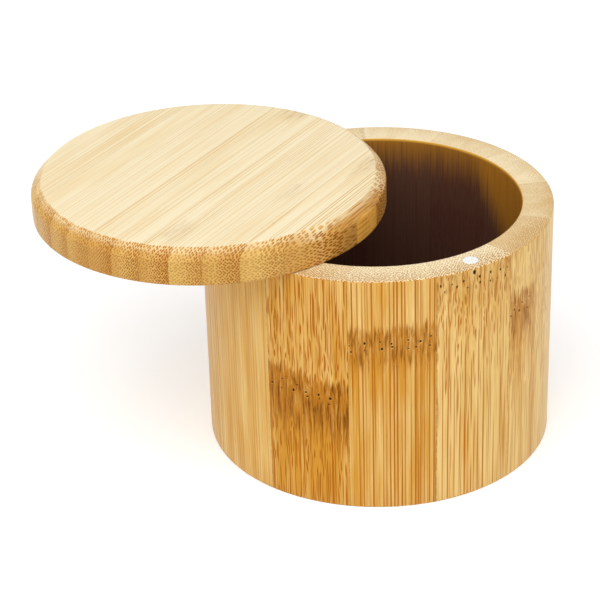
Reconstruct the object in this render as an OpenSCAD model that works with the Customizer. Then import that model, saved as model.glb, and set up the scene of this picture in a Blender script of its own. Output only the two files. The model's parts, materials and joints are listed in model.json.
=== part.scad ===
// Round salt box with a swivel lid.  The wall is a ring of glued staves turned on a lathe, and the
// floor and the lid are boards of edge-glued strips.  A steel pin that stands in the rim carries
// the lid, and two small magnets opposite the pin hold it shut.
// The origin is the middle of the underside, +Z points up, the magnet in the rim is towards -Y and
// the pivot pin towards +Y.  The lid is drawn swung open.  All sizes are in millimetres.

/* [Box] */
// Diameter of the box and of its lid
box_d = 88.9; // [80:0.1:110]
// Height of the box without the lid
box_h = 63.5; // [45:0.5:90]
// Thickness of the stave wall
wall_t = 7.9; // [7:0.1:10]
// Roundness of the rim and of the bottom edges
edge_ease = 0.4; // [0.2:0.1:0.8]

/* [Staves] */
// Number of staves round the wall
stave_count = 13; // [9:1:16]
// Direction of the first seam, counted from +X
first_seam = -132.6; // [-180:0.1:180]

/* [Floor] */
// Thickness of the floor board
floor_t = 6; // [4:0.5:10]
// How far the rebate that holds the floor reaches into the wall
floor_seat = 2.3; // [1:0.1:4]
// Where one seam of the floor board lies, counted from the axis
floor_seam = 3.6; // [-3.5:0.1:3.6]

/* [Lid] */
// Thickness of the lid
lid_t = 9; // [8:0.1:14]
// Width and height of the bevel round the top of the lid
lid_bevel = 2.5; // [1:0.1:4]
// Roundness of the two edges of the bevel
bevel_ease = 1.2; // [0.4:0.1:1.5]
// Hairline of air between the rim and the lid
lid_gap = 0.1; // [0.05:0.05:0.3]
// How far the lid is swung open
lid_swing = 62.4; // [0:0.1:180]

/* [Strips] */
// Width of the strips in the floor and in the lid
strip_w = 7.15; // [6:0.05:12]
// Where one seam of the lid lies, counted from the axis
lid_seam = 1.15; // [-3:0.05:3]
// A strip narrower than this is left joined to its neighbour
least_strip = 1.5; // [1.2:0.1:2.4]

/* [Pivot pin] */
// Diameter of the steel pin
pin_d = 4; // [3:0.1:4.5]
// Length of the steel pin
pin_l = 21; // [16:0.5:26]
// How far the pin is glued up into the lid
pin_in_lid = 6; // [4:0.5:6.5]
// Air all round the pin where it turns in the wall
pin_clearance = 0.05; // [0.02:0.01:0.1]

/* [Magnets] */
// Diameter of both magnets
magnet_d = 4; // [3:0.1:4.5]
// Thickness of both magnets
magnet_t = 3; // [1.5:0.5:5]

/* [Hidden] */
$fn = 180;
box_r = box_d / 2;
cavity_r = box_r - wall_t;
floor_r = cavity_r + floor_seat;
pin_y = box_r - wall_t / 2;
magnet_y = -pin_y;
stave_angle = 360 / stave_count;
lid_z = box_h + lid_gap;
pin_foot_z = lid_z + pin_in_lid - pin_l;
pin_chamfer = 0.5;
magnet_chamfer = 0.2;
// A cutter stands this far proud of the face it starts from
proud = 1;

// Seams of a board with radius r: one at x = seam, the others strip_w apart, and none so near the
// rim that it would cut off less than least_strip
function seams(r, seam) =
    let (reach = r - least_strip)
    [for (k = [ceil((-reach - seam) / strip_w) : floor((reach - seam) / strip_w)]) seam + k * strip_w];

floor_seams = seams(floor_r, floor_seam);
lid_seams = seams(box_r, lid_seam);

function numbered(name, k) = str(name, k < 9 ? "_0" : "_", k + 1);

STAVES = [for (k = [0 : stave_count - 1]) numbered("wall_stave", k)];
FLOOR_STRIPS = [for (k = [0 : len(floor_seams)]) numbered("floor_strip", k)];
LID_STRIPS = [for (k = [0 : len(lid_seams)]) numbered("lid_strip", k)];

// Points of an arc, for the eased corners of a section
function arc(middle, r, from, to, steps = 4) =
    [for (i = [0 : steps]) let (a = from + (to - from) * i / steps) middle + r * [cos(a), sin(a)]];

// Section of the wall: eased at the rim and at the foot, with the rebate for the floor
module wall_section() {
    low = edge_ease;
    high = box_h - edge_ease;
    polygon(concat(
        arc([box_r - edge_ease, low], edge_ease, -90, 0),
        arc([box_r - edge_ease, high], edge_ease, 0, 90),
        arc([cavity_r + edge_ease, high], edge_ease, 90, 180),
        [[cavity_r, floor_t], [floor_r, floor_t], [floor_r, 0]]
    ));
}

// Section of the lid: eased at the foot, with a bevel at the top whose two edges are rounded
module lid_section() {
    tangent = bevel_ease * tan(22.5);
    polygon(concat(
        [[0, 0]],
        arc([box_r - edge_ease, edge_ease], edge_ease, -90, 0),
        arc([box_r - bevel_ease, lid_t - lid_bevel - tangent], bevel_ease, 0, 45),
        arc([box_r - lid_bevel - tangent, lid_t - bevel_ease], bevel_ease, 45, 90),
        [[0, lid_t]]
    ));
}

// Round rod or disc, chamfered at both ends
module chamfered_rod(d, l, chamfer) {
    rotate_extrude()
        polygon([
            [0, 0], [d / 2 - chamfer, 0], [d / 2, chamfer],
            [d / 2, l - chamfer], [d / 2 - chamfer, l], [0, l]
        ]);
}

// Keeps what lies between seam k - 1 and seam k of a board with radius r and thickness t
module between_seams(cuts, k, r, t) {
    left = k == 0 ? -r - proud : cuts[k - 1];
    right = k == len(cuts) ? r + proud : cuts[k];
    intersection() {
        children();
        translate([left, -r - proud, -proud])
            cube([right - left, 2 * (r + proud), t + 2 * proud]);
    }
}

// Turns the closed lid about the pivot pin to where it stands open
module swung_open() {
    translate([0, pin_y, lid_z])
        rotate([0, 0, -lid_swing])
            translate([0, -pin_y, 0])
                children();
}

// The holes in the wall are drilled after gluing, so one may cross a seam
module pivot_bore() {
    translate([0, pin_y, pin_foot_z])
        cylinder(h = pin_l, r = pin_d / 2 + pin_clearance);
}

module rim_pocket() {
    translate([0, magnet_y, box_h - magnet_t])
        cylinder(h = magnet_t + proud, d = magnet_d);
}

module wall_stave(k) {
    color(k % 2 == 0 ? "burlywood" : "tan")
        difference() {
            rotate([0, 0, first_seam + stave_angle * k])
                rotate_extrude(angle = stave_angle)
                    wall_section();
            pivot_bore();
            rim_pocket();
        }
}

module floor_strip(k) {
    color(k % 2 == 0 ? "peru" : "burlywood")
        between_seams(floor_seams, k, floor_r, floor_t)
            cylinder(h = floor_t, r = floor_r);
}

module lid_strip(k) {
    color(k % 2 == 0 ? "wheat" : "navajowhite")
        swung_open()
            difference() {
                between_seams(lid_seams, k, box_r, lid_t)
                    rotate_extrude()
                        lid_section();
                translate([0, pin_y, -proud])
                    cylinder(h = pin_in_lid + proud, d = pin_d);
                translate([0, magnet_y, -proud])
                    cylinder(h = magnet_t + proud, d = magnet_d);
            }
}

module pivot_pin() {
    color("silver")
        translate([0, pin_y, pin_foot_z])
            chamfered_rod(pin_d, pin_l, pin_chamfer);
}

module rim_magnet() {
    color("gainsboro")
        translate([0, magnet_y, box_h - magnet_t])
            chamfered_rod(magnet_d, magnet_t, magnet_chamfer);
}

module lid_magnet() {
    color("gainsboro")
        swung_open()
            translate([0, magnet_y, 0])
                chamfered_rod(magnet_d, magnet_t, magnet_chamfer);
}

for (k = [0 : len(STAVES) - 1]) {
    wall_stave(k);
}
for (k = [0 : len(FLOOR_STRIPS) - 1]) {
    floor_strip(k);
}
for (k = [0 : len(LID_STRIPS) - 1]) {
    lid_strip(k);
}
pivot_pin();
rim_magnet();
lid_magnet();
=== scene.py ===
import json
import math
from collections import namedtuple

import bpy
import numpy as np
from mathutils import Matrix, Vector


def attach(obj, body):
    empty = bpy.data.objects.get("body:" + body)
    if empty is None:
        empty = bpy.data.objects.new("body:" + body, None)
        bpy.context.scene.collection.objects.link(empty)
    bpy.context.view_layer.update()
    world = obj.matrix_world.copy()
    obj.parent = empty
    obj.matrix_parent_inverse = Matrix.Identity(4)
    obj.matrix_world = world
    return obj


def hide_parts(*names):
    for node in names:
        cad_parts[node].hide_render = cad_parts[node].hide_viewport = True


bl_info = {
    "name": "Bamboo Salt Box",
    "version": (1, 0, 0),
    "blender": (4, 5, 0),
    "location": "View3D > Sidebar > Salt Box",
    "description": "A round bamboo salt box with a swivel lid, and the studio that it stands in",
    "category": "Add Mesh",
}

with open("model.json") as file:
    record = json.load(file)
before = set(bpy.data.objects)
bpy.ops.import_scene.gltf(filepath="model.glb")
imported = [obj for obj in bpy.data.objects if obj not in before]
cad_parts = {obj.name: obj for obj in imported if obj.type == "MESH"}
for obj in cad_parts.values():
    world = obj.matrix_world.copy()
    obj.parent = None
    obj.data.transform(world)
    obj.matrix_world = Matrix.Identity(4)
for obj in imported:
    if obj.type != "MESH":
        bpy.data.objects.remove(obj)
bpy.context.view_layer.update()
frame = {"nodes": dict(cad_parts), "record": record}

MM = 0.001


# ---------------------------------------------------------------- sizes, read from the frame

def node_points(*nodes):
    """Corner points of CAD nodes, one row each, in millimetres."""
    found = []
    for node in nodes:
        mesh = frame["nodes"][node].data
        points = np.empty(len(mesh.vertices) * 3)
        mesh.vertices.foreach_get("co", points)
        found.append(points.reshape(-1, 3) / MM)
    return np.concatenate(found)


def nodes_named(start):
    """Names of the CAD nodes that begin with these letters, in order."""
    return sorted(name for name in frame["nodes"] if name.startswith(start))


STAVES = nodes_named("wall_stave_")
FLOOR_STRIPS = nodes_named("floor_strip_")
LID_STRIPS = nodes_named("lid_strip_")

WALL = node_points(*STAVES)
FLOOR = node_points(*FLOOR_STRIPS)
LID = node_points(*LID_STRIPS)
PIVOT = np.array(frame["record"]["behaviour"]["joints"][0]["pos_m"][:2]) / MM

# The turned faces stay this much inside the CAD's circles in mm, because its facets cut the corners
HAIR = 0.03
CAD_R = np.hypot(WALL[:, 0], WALL[:, 1]).max()
BOX_R = CAD_R - HAIR
BOX_H = WALL[:, 2].max()
# The pin stands in the middle of the wall
CAVITY_R = 2 * PIVOT[1] - CAD_R
FLOOR_R = np.hypot(FLOOR[:, 0], FLOOR[:, 1]).max()
FLOOR_T = FLOOR[:, 2].max()
LID_LOW = LID[:, 2].min()
LID_T = LID[:, 2].max() - LID_LOW
LID_AT = (LID[:, :2].min(0) + LID[:, :2].max(0)) / 2
# How far the lid is swung open, from the way its middle lies off the pivot
SWING = math.atan2(PIVOT[0] - LID_AT[0], PIVOT[1] - LID_AT[1])


# ---------------------------------------------------------------- what a user would change

def srgb(red, green, blue):
    """A colour given as 0 to 255 on screen, as the linear numbers that a shader reads."""
    return tuple(
        v / 12.92 if v <= 0.04045 else ((v + 0.055) / 1.055) ** 2.4
        for v in (red / 255, green / 255, blue / 255)
    )


def length(name, description, millimetres):
    """A size that shows in the scene's units."""
    return bpy.props.FloatProperty(
        name=name, description=description, default=millimetres * MM, min=0, precision=4, unit="LENGTH"
    )


def angle(name, description, degrees):
    """An angle that shows in degrees."""
    return bpy.props.FloatProperty(
        name=name, description=description, default=math.radians(degrees), subtype="ANGLE"
    )


def power(name, description, watts):
    """The power of a lamp."""
    return bpy.props.FloatProperty(name=name, description=description, default=watts, unit="POWER")


def colour(name, description, red, green, blue):
    """A colour that shows as a swatch."""
    return bpy.props.FloatVectorProperty(
        name=name, description=description, default=srgb(red, green, blue), min=0, max=1, subtype="COLOR"
    )


class SaltBoxShape(bpy.types.PropertyGroup):
    edge_ease: length("Edge ease", "Roundness of the rim and of the bottom edges", 0.4)
    seam_ease: length("Seam ease", "How much each glued edge is broken, which draws the seams", 0.05)
    lid_bevel: length("Lid bevel", "Width and height of the bevel round the top of the lid", 2.5)
    bevel_ease: length("Bevel ease", "Roundness of the two edges of the bevel", 1.2)
    sliver: length("Sliver", "Width of the last strip that the turning left at the lid's side", 0.36)
    sliver_turn: angle("Sliver turn", "How far the seam of that strip is out of line with the others", 3)
    pit_depth: length("Pit depth", "Depth of the small dark pits in the knots", 0.2)


class SaltBoxColours(bpy.types.PropertyGroup):
    wall_pale: colour("Wall, pale", "Ground between the fibres of the wall", 240, 204, 130)
    wall_deep: colour("Wall, deep", "Warmer ground of the wall", 212, 150, 50)
    wall_fibre: colour("Wall fibre", "Streaks of dense fibre on the wall", 180, 104, 8)
    wall_end: colour("Rim ground", "End grain of the rim", 250, 232, 190)
    wall_end_deep: colour("Rim, deep", "Warmer end grain of the rim", 222, 188, 130)
    wall_dot: colour("Rim dots", "Cut fibres in the rim", 178, 122, 56)
    lid_pale: colour("Lid, pale", "Ground of the lid's top", 248, 232, 194)
    lid_deep: colour("Lid, deep", "Warmer lines of the lid's top", 238, 208, 150)
    lid_fibre: colour("Lid fibre", "Darker lines along the lid", 216, 170, 96)
    lid_end: colour("Lid edge ground", "End grain round the lid", 227, 186, 106)
    lid_end_deep: colour("Lid edge, deep", "Warmer end grain round the lid", 198, 142, 66)
    lid_dot: colour("Lid edge dots", "Cut fibres round the lid", 150, 81, 0)
    # Lighter dots at the top of the lid's edge: partly a painted sheen on the bevel
    lid_dot_high: colour("Lid edge dots, high", "Cut fibres near the top of a board's edge", 188, 121, 0)
    lid_knot: colour("Lid knot", "Tan of the knots in the lid's top", 200, 162, 104)
    sliver: colour("Sliver", "Smooth strip at the lid's side", 255, 186, 84)
    knot: colour("Knot", "Brown of the knots", 186, 118, 24)
    bent: colour("Bent fibre", "Darkest streaks in the knots", 112, 60, 4)
    # Painted shade in the pits, darkening each dent by its depth; the cavity's painted shade uses it for its
    # darker streaks
    pit: colour("Pit", "Bottom of the pits", 50, 30, 14)
    # Painted light and shade of the cavity: the lit top of the inside, and its shaded depth and floor
    inside_lit: colour("Inside, high", "Inside of the wall just under the rim", 186, 123, 38)
    inside_shaded: colour("Inside, low", "Inside of the wall further down, and the floor", 90, 56, 49)
    # Painted highlight on the rounded inner edge of the rim
    lip: colour("Lip", "Rounded inner edge of the rim", 236, 178, 68)
    nickel: colour("Nickel", "Plating of the magnets", 252, 251, 249)
    steel: colour("Steel", "Rod of the pivot pin", 168, 168, 166)
    paper: colour("Floor", "Pale paper that the box stands on", 226, 226, 226)


class SaltBoxStudio(bpy.types.PropertyGroup):
    focal_length: bpy.props.FloatProperty(
        name="Focal length", description="Lens on a 36 mm sensor", default=129.41, unit="CAMERA"
    )
    azimuth: angle("Azimuth", "Way round the box to the camera", -30.8)
    elevation: angle("Elevation", "Height of the camera's view", 28.555)
    roll: angle("Roll", "Lean of the camera", -1.755)
    distance: length("Distance", "From the camera to the point that it looks at", 556.8)
    aim: bpy.props.FloatVectorProperty(
        name="Aim",
        description="Point that the camera looks at",
        default=(-17.22 * MM, 10.27 * MM, 35.1 * MM),
        unit="LENGTH",
    )
    key_power: power("Key", "Power of the big soft lamp", 4.1)
    fill_power: power("Fill", "Power of the lamp at the camera's side", 2.2)
    side_power: power("Side", "Power of the low lamp on the lid's side", 1.7)
    surround: bpy.props.FloatProperty(
        name="Surround", description="Brightness of the white room", default=0.55, min=0
    )


# ---------------------------------------------------------------- how each piece looks

# tone: 0 pale to 1 brown, and contrast: how strongly the fibres show, both for faces along the
# grain; end_tone and end_contrast: the same for end grain.  fleck: length in mm of the fibre flecks
# beside the knot.  straight: their length far from it.  knot_at: place of the knot along the grain
# in mm.  slope: its rise in mm per mm sideways.  knot: its strength.  aside and wide: where the
# knot is sideways and half its width, in mm.  down: how far its brown reaches down, in mm.
# buried: how deep in mm the strip's dense side would lie beyond its seam.
Look = namedtuple(
    "Look",
    "tone contrast end_tone end_contrast fleck straight knot_at slope knot aside wide down buried",
    defaults=(60, 90, -90.0, 0.0, 0.0, 0.0, 99.0, 6.5, 0.0),
)

STAVE_LOOKS = (
    Look(0.57, 1.1, 0.0, 0.9, 60, 90, 46.0, 0.04, 0.82),
    Look(0.15, 0.9, 0.0, 1.0, 6, 40, 59.6, -0.05, 0.30),
    Look(0.15, 0.7, 0.80, 0.7, 7, 40, 46.5, -0.05, 0.90, -6.0, 5.5, 9.0),
    Look(0.0, 0.4, 0.65, 0.4, 12, 60, 47.0, 0.02, 0.15),
    Look(0.30, 0.8, 0.20, 0.3, 60, 90, 22.0, 0.03, 0.60),
    Look(0.55, 0.9, 0.35, 0.3, 7, 30, 41.0, -0.06, 0.75),
    Look(0.25, 0.5, 0.10, 0.3),
    Look(0.45, 1.0, 0.25, 0.3, 60, 90, 15.0, 0.05, 0.70),
    Look(0.25, 0.8, 0.15, 0.4, 7, 36, 52.0, 0.03, 0.70),
    Look(0.35, 0.6, 0.20, 0.5, 50, 90, 33.0, -0.02, 0.50),
    Look(0.40, 0.7, 0.25, 0.7),
    Look(0.45, 0.40, 0.20, 0.8),
    Look(0.65, 1.3, 0.25, 0.9, 7, 60, 31.0, -0.14, 1.1, 0.0, 99.0, 13.0),
)
LID_LOOKS = (
    Look(0.35, 0.50, 0.00, 0.3, buried=5.0),
    Look(0.20, 0.40, 0.00, 0.5),
    Look(0.30, 0.50, 0.10, 0.65),
    Look(0.25, 0.45, 0.35, 0.8),
    Look(0.10, 0.40, 0.42, 0.7),
    Look(0.05, 0.45, 0.50, 0.7),
    Look(0.30, 0.50, 0.70, 0.8, 50, 80, 41.5, 0.3, 0.25, 3.0, 3.0),
    Look(0.15, 0.55, 0.45, 0.9, 60, 80, 41.0, -0.3, 0.30, -2.5, 2.5),
    Look(0.10, 0.60, 0.50, 1.0, 30, 70, -31.0, -0.2, 0.18, 0.0, 3.0),
    Look(0.00, 0.50, 0.25, 0.8),
    Look(0.05, 0.50, 0.45, 0.9, 30, 80, 0.5, 0.9, 0.15, -1.5, 1.5),
    Look(0.05, 0.60, 0.20, 0.7, 24, 70, 23.0, 0.2, 0.30, 0.5, 3.2),
    Look(0.10, 1.00, 0.50, 1.0),
)
SLIVER_LOOK = Look(0.15, 0.5, 0.15, 0.0)


def floor_look(number):
    """The strips of the floor take turns: three tones, three places of the knot, and a knot in every
    other strip."""
    tone = 0.2 + 0.15 * (number % 3)
    knot_at = 24.0 - 31 * (number * 5 % 3)
    return Look(tone, 0.7, 0.4, 0.8, 20, 70, knot_at, 0.1, knot=0.5 * (number % 2))


# ---------------------------------------------------------------- shapes

# Points along the outside, the inside and a seam of a stave
OUTSIDE_POINTS, INSIDE_POINTS, SEAM_POINTS = 110, 44, 5
# Points along the arc of a strip inside its board and of a strip at the end, and along a glued side
STRIP_POINTS, END_STRIP_POINTS, SIDE_POINTS = 28, 60, 9
# Points round a whole circle
ROUND_POINTS = 64
# Steps of an arc: an eased edge of the wood, an edge of the bevel and the end of a metal part
EASE_STEPS, BEVEL_STEPS, METAL_STEPS = 4, 6, 5
# Points along the lid's upright side and along the slope of its bevel
STRAIGHT_POINTS = 5
# Spacing in mm of a stave's rings: usually, and within reach of the middle of its pits
RING_STEP, PITTED_STEP, PITTED_REACH = 1.3, 0.3, 4.5
# Points at which a running sum along the grain is taken
SUM_POINTS = 2000
# Where the extra rings of a flat face lie, as shares of the way out from its pole
FOOT_SHARES, RIM_SHARES = (0.3, 0.7), (0.75, 0.5, 0.25)
BOARD_LOW_SHARES, BOARD_TOP_SHARES, LID_TOP_SHARES = (0.4, 0.8), (0.8, 0.4), (0.9, 0.6, 0.3)
# Faces that meet at more than this show an edge
SHARP = math.radians(32)
# A drill starts this far outside the wood in mm
PROUD = 1
# Air in mm round the pin where it turns in the wall
PIN_CLEARANCE = 0.05
# Roundness in mm of the ends of the pin and of the magnets
PIN_EASE, MAGNET_EASE = 0.5, 0.2


def turned(points, turn):
    """Points turned about the pivot: the usual plane rotation, with the height left alone."""
    c, s = math.cos(turn), math.sin(turn)
    out = np.array(points, float)
    x, y = out[..., 0] - PIVOT[0], out[..., 1] - PIVOT[1]
    out[..., 0], out[..., 1] = PIVOT[0] + c * x - s * y, PIVOT[1] + s * x + c * y
    return out


def wrapped(direction):
    """A direction in radians, brought within half a turn of nought by taking away whole turns."""
    return (direction + math.pi) % math.tau - math.pi


def on_circle(radius, direction):
    """Plane points from their radius and direction: the radius times cosine and sine."""
    return np.stack([radius * np.cos(direction), radius * np.sin(direction)], -1)


def arc(middle, radius, start, end, steps):
    """Points of an arc: the middle plus the radius times cosine and sine, in equal steps of angle."""
    return np.array(middle) + on_circle(radius, np.radians(np.linspace(start, end, steps + 1)))


def running_sum(per_mm, z):
    """What a density adds up to on the way along z, by the trapezium rule."""
    return np.concatenate([[0], np.cumsum((per_mm[1:] + per_mm[:-1]) / 2 * np.diff(z))])


def crowded(low, high, middle):
    """Heights from low to high, closer together within reach of the middle: the running sum of one
    over the spacing, read back at whole numbers."""
    z = np.linspace(low, high, SUM_POINTS)
    count = running_sum(np.where(abs(z - middle) < PITTED_REACH, 1 / PITTED_STEP, 1 / RING_STEP), z)
    return np.interp(np.linspace(0, count[-1], math.ceil(count[-1]) + 1), count, z)


def sector_rings(outer, inner, start, end, corner):
    """Rings round a slice of a ring-shaped wall, one for each pair of radii.  Each ring runs along
    the outer arc, in along the end seam, back along the inner arc and out along the start seam,
    with its four corners cut by a small step."""
    outer, inner = outer[:, None], inner[:, None]
    along = np.linspace(0, 1, OUTSIDE_POINTS)
    back = np.linspace(1, 0, INSIDE_POINTS)
    across = np.linspace(0, 1, SEAM_POINTS)
    cut_out, cut_in = corner / outer, corner / inner
    a_out = start + cut_out + (end - start - 2 * cut_out) * along
    a_in = start + cut_in + (end - start - 2 * cut_in) * back
    r_in = outer - corner + (inner - outer + 2 * corner) * across
    r_back = inner + corner + (outer - inner - 2 * corner) * across
    radii = np.hstack([outer + 0 * a_out, r_in, inner + 0 * a_in, r_back])
    return on_circle(radii, np.hstack([a_out, end + 0 * r_in, a_in, start + 0 * r_back]))


def slab_rings(radii, left, right, corner, left_turn=0.0, right_turn=0.0):
    """Rings round the part of a disc between two upright planes, one for each radius.  A plane is
    given by its distance from the axis and by how far its normal is turned from +X, and it meets
    a circle at that turn plus and minus the arc cosine of distance over radius.  Each ring runs up
    the right plane, along the far arc, down the left plane and along the near arc, and a plane
    that misses the disc leaves no side."""
    radii = radii[:, None]
    reach = radii.min()
    has_right, has_left = right < reach, left > -reach
    steps = np.linspace(0, 1, STRIP_POINTS if has_right and has_left else END_STRIP_POINTS)

    def met(distance):
        return np.arccos(np.clip(distance / radii, -1, 1))

    def side(start, end, distance, turn):
        # The glued face itself, which the corner cuts leave a step outside the arcs' ends
        out = np.array([math.cos(turn), math.sin(turn)])
        first, last = on_circle(radii, start), on_circle(radii, end)
        line = first + (last - first) * np.linspace(0, 1, SIDE_POINTS)[:, None]
        return line + (distance - line @ out)[..., None] * out

    half_right = met(right - corner) if has_right else 0 * radii
    half_left = met(left + corner) if has_left else math.pi + 0 * radii
    far_start, far_end = right_turn + half_right, left_turn + half_left
    near_start, near_end = left_turn - half_left, right_turn - half_right
    far = on_circle(radii, far_start + (far_end - far_start) * steps)
    near = on_circle(radii, near_start + (near_end - near_start) * steps)
    parts = [far]
    if has_right:
        parts.insert(0, side(near_end, far_start, right, right_turn))
    if has_left:
        parts.append(side(far_end, near_start, left, left_turn))
    # Where two arcs meet with no side between them, their shared point is kept once
    parts.append(near[:, (0 if has_left else 1) : (None if has_right else -1)])
    return np.concatenate(parts, 1)


def stacked(plan, heights):
    """Plane rings lifted to their heights."""
    z = np.broadcast_to(heights[:, None, None], plan.shape[:2] + (1,))
    return np.concatenate([plan, z], -1)


def shrunk(ring, pole, shares):
    """Copies of a ring drawn in towards a pole: the pole plus a share of the way to each point."""
    return np.stack([pole + share * (ring - pole) for share in shares])


def lofted(name, rings, low_pole, high_pole):
    """A closed skin over rings stacked from the low pole to the high one.  Four neighbouring
    points make a face, and a fan of triangles closes each end."""
    m, n = rings.shape[:2]
    points = np.vstack([rings.reshape(-1, 3), low_pole, high_pole]) * MM
    row = np.arange(m - 1)[:, None] * n
    here = np.arange(n)
    after = (here + 1) % n
    quads = np.stack([row + here, row + after, row + n + after, row + n + here], -1).reshape(-1, 4)
    top = (m - 1) * n
    low_fan = np.stack([np.full(n, m * n), after, here], 1)
    high_fan = np.stack([np.full(n, m * n + 1), top + here, top + after], 1)
    mesh = bpy.data.meshes.new(name)
    mesh.from_pydata(points.tolist(), [], quads.tolist() + low_fan.tolist() + high_fan.tolist())
    piece = bpy.data.objects.new(name, mesh)
    bpy.context.collection.objects.link(piece)
    return piece


def rod(name, x, y, profile):
    """A turned solid about an upright axis: each (radius, height) of the profile becomes a ring."""
    round_it = np.linspace(0, math.tau, ROUND_POINTS, endpoint=False)
    rings = stacked(on_circle(profile[:, :1], round_it) + np.array([x, y]), profile[:, 1])
    return lofted(name, rings, (x, y, profile[0, 1]), (x, y, profile[-1, 1]))


def bored(piece, x, y, radius, low, high):
    """Drills a round upright hole in a piece, and leaves the result in its mesh."""
    drill = rod("drill", x, y, np.array([(radius, low), (radius, high)]))
    hole = piece.modifiers.new("hole", "BOOLEAN")
    hole.operation = "DIFFERENCE"
    hole.solver = "EXACT"
    hole.object = drill
    whole = piece.data
    drilled = piece.evaluated_get(bpy.context.evaluated_depsgraph_get())
    piece.data = bpy.data.meshes.new_from_object(drilled)
    piece.modifiers.clear()
    piece.data.name = whole.name
    bpy.data.meshes.remove(whole)
    bpy.data.objects.remove(drill)


def points_of(piece):
    """A piece's own points in millimetres, one row each."""
    found = np.empty(len(piece.data.vertices) * 3)
    piece.data.vertices.foreach_get("co", found)
    return found.reshape(-1, 3) / MM


def store(piece, name, values):
    """Writes three numbers for each point of a piece, which a material reads by their name."""
    layer = piece.data.attributes.new(name, "FLOAT_VECTOR", "POINT")
    layer.data.foreach_set("vector", np.stack(values, 1).astype(np.float32).ravel())


def finished(piece, body, slot, material, *nodes):
    """Shades a piece smooth but for its real edges, gives it its material and seats it on a body."""
    piece.data.shade_smooth()
    piece.data.set_sharp_from_angle(angle=SHARP)
    piece.data.materials.append(material)
    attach(piece, body)
    if nodes:
        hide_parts(*nodes)


# ---------------------------------------------------------------- grain, stored on the points

# Spacing of the fibres in mm: across the strip, and through it at the dense side, with the share
# of the depth by which it grows inward
ACROSS_STEP = 0.66
DENSE_STEP = 0.52
LOOSE_GAIN = 0.05
# Depth in mm past which the fibres aren't counted, outside the dense side
LEAST_DEPTH = -2
# How much wider apart the fibres stand in the wall
WALL_COARSE = 1.2
# Reach in mm along the grain of what a knot does to the fibres beside it
KNOT_REACH = 26.0
# How far down in mm the brown of a usual knot reaches; others are stretched to their own reach
KNOT_DOWN = 6.5
# How far the fibres stray from straight lines, in spacings: away from a knot, and beside one
CALM_SWAY = 0.9
KNOT_SWAY = 2.2
# Flecks of the first length in mm sway least, and shorter ones more, down to the second
CALM_FLECK, SWAYED_FLECK = 40, 10
# Least and greatest place along the grain, in mm, in any piece, and the steps between them
GRAIN_LOW, GRAIN_HIGH, GRAIN_POINTS = -60, 100, 1601
# How far apart two pieces with neighbouring numbers lie in the patterns: in fibres, in flecks and
# in mm sideways
FIBRES_APART, FLECKS_APART, SIDEWAYS_APART = 41.0, 17.3, 31.0
# Numbers of the first strips, which no stave has
FLOOR_NUMBER, LID_NUMBER = 40, 80


def layered(depth):
    """Number of fibres met on the way in from the dense side, where their spacing grows in
    proportion to the depth: the logarithm of one plus gain times depth.  Past the least depth there
    are no more."""
    return np.log1p(LOOSE_GAIN * np.maximum(depth, LEAST_DEPTH) / DENSE_STEP) / LOOSE_GAIN


def near_knot(along, look):
    """One at the knot, falling off along the grain as a bell."""
    return np.exp(-(((along - look.knot_at) / KNOT_REACH) ** 2))


def flecks(along, look):
    """Number of fleck lengths up to a point: the sum along the grain of one over the length, which
    grows from beside the knot to far from it."""
    z = np.linspace(GRAIN_LOW, GRAIN_HIGH, GRAIN_POINTS)
    near = near_knot(z, look)
    return np.interp(along, z, running_sum(near / look.fleck + (1 - near) / look.straight, z))


def store_grain(piece, across, depth, along, sideways, left, right, look, pits, number, coarse=1.0):
    """Stores a piece's place in its bamboo: fibres across, fibres in and flecks along; distances to
    the seams and length along; height over the knot, its strength and the pits; tone, contrast and
    sway, which is large where short flecks show; tone and contrast of the end grain, and the place
    sideways, which differs from piece to piece."""
    even = np.ones_like(along)
    fibres = across / (ACROSS_STEP * coarse) + FIBRES_APART * number
    store(piece, "grain", (fibres, layered(depth) / coarse, flecks(along, look) + FLECKS_APART * number))
    store(piece, "seam", (left, right, along))
    over = along - look.knot_at - look.slope * sideways
    over = np.where(over < 0, over * KNOT_DOWN / look.down, over)
    window = np.exp(-(((sideways - look.aside) / look.wide) ** 4))
    store(piece, "knot", (over, look.knot * window, pits))
    flecked = np.clip((CALM_FLECK - look.fleck) / (CALM_FLECK - SWAYED_FLECK), 0, 1)
    sway = CALM_SWAY + KNOT_SWAY * flecked * near_knot(along, look) ** 0.5
    store(piece, "look", (look.tone * even, look.contrast * even, sway))
    place = sideways + SIDEWAYS_APART * number
    store(piece, "ends", (look.end_tone * even, look.end_contrast * even, place))


# ---------------------------------------------------------------- materials

WHITE = (1, 1, 1, 1)
# The darker of two tints that are blended, as a share of the lighter
DARKER = 0.9


def rgba(colour_of, share=1.0):
    """A share of a colour property, with its alpha."""
    return (*(share * v for v in colour_of), 1.0)


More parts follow.
